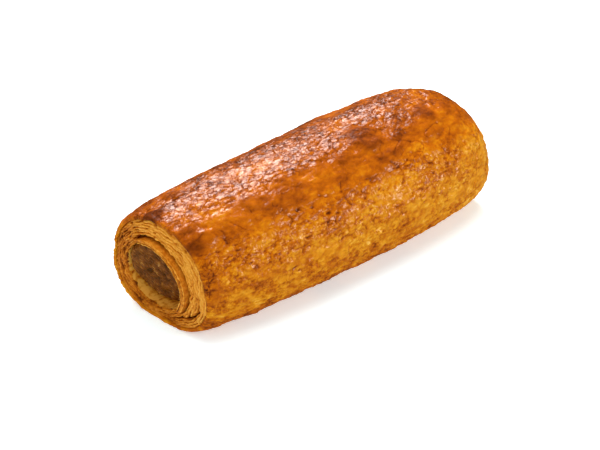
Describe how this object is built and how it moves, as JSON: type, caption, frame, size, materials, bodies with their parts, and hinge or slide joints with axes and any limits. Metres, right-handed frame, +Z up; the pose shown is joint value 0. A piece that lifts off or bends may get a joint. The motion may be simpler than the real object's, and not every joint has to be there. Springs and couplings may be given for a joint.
{
  "type": "sausage roll",
  "caption": "Baked sausage roll: a rod of cooked sausage meat rolled in flaky, egg-washed puff pastry that laps over itself, with both ends cut to show the layers and the meat.",
  "frame": {"origin": "under the middle of the roll, on the surface it rests on", "axes": "+X along the roll, from the end that narrows slowly to the end that rounds over; +Z up from its flat baked base"},
  "size_m": [0.1304, 0.0544, 0.0426],
  "materials": {
    "puff_pastry": "baked puff pastry, glossy amber egg wash over the top and matt golden flakes on the sides and cuts",
    "sausage_meat": "coarse cooked sausage meat, brown and slightly moist"
  },
  "bodies": {
    "root": {"pastry": "puff_pastry", "sausage_meat": "sausage_meat"}
  },
  "joints": []
}
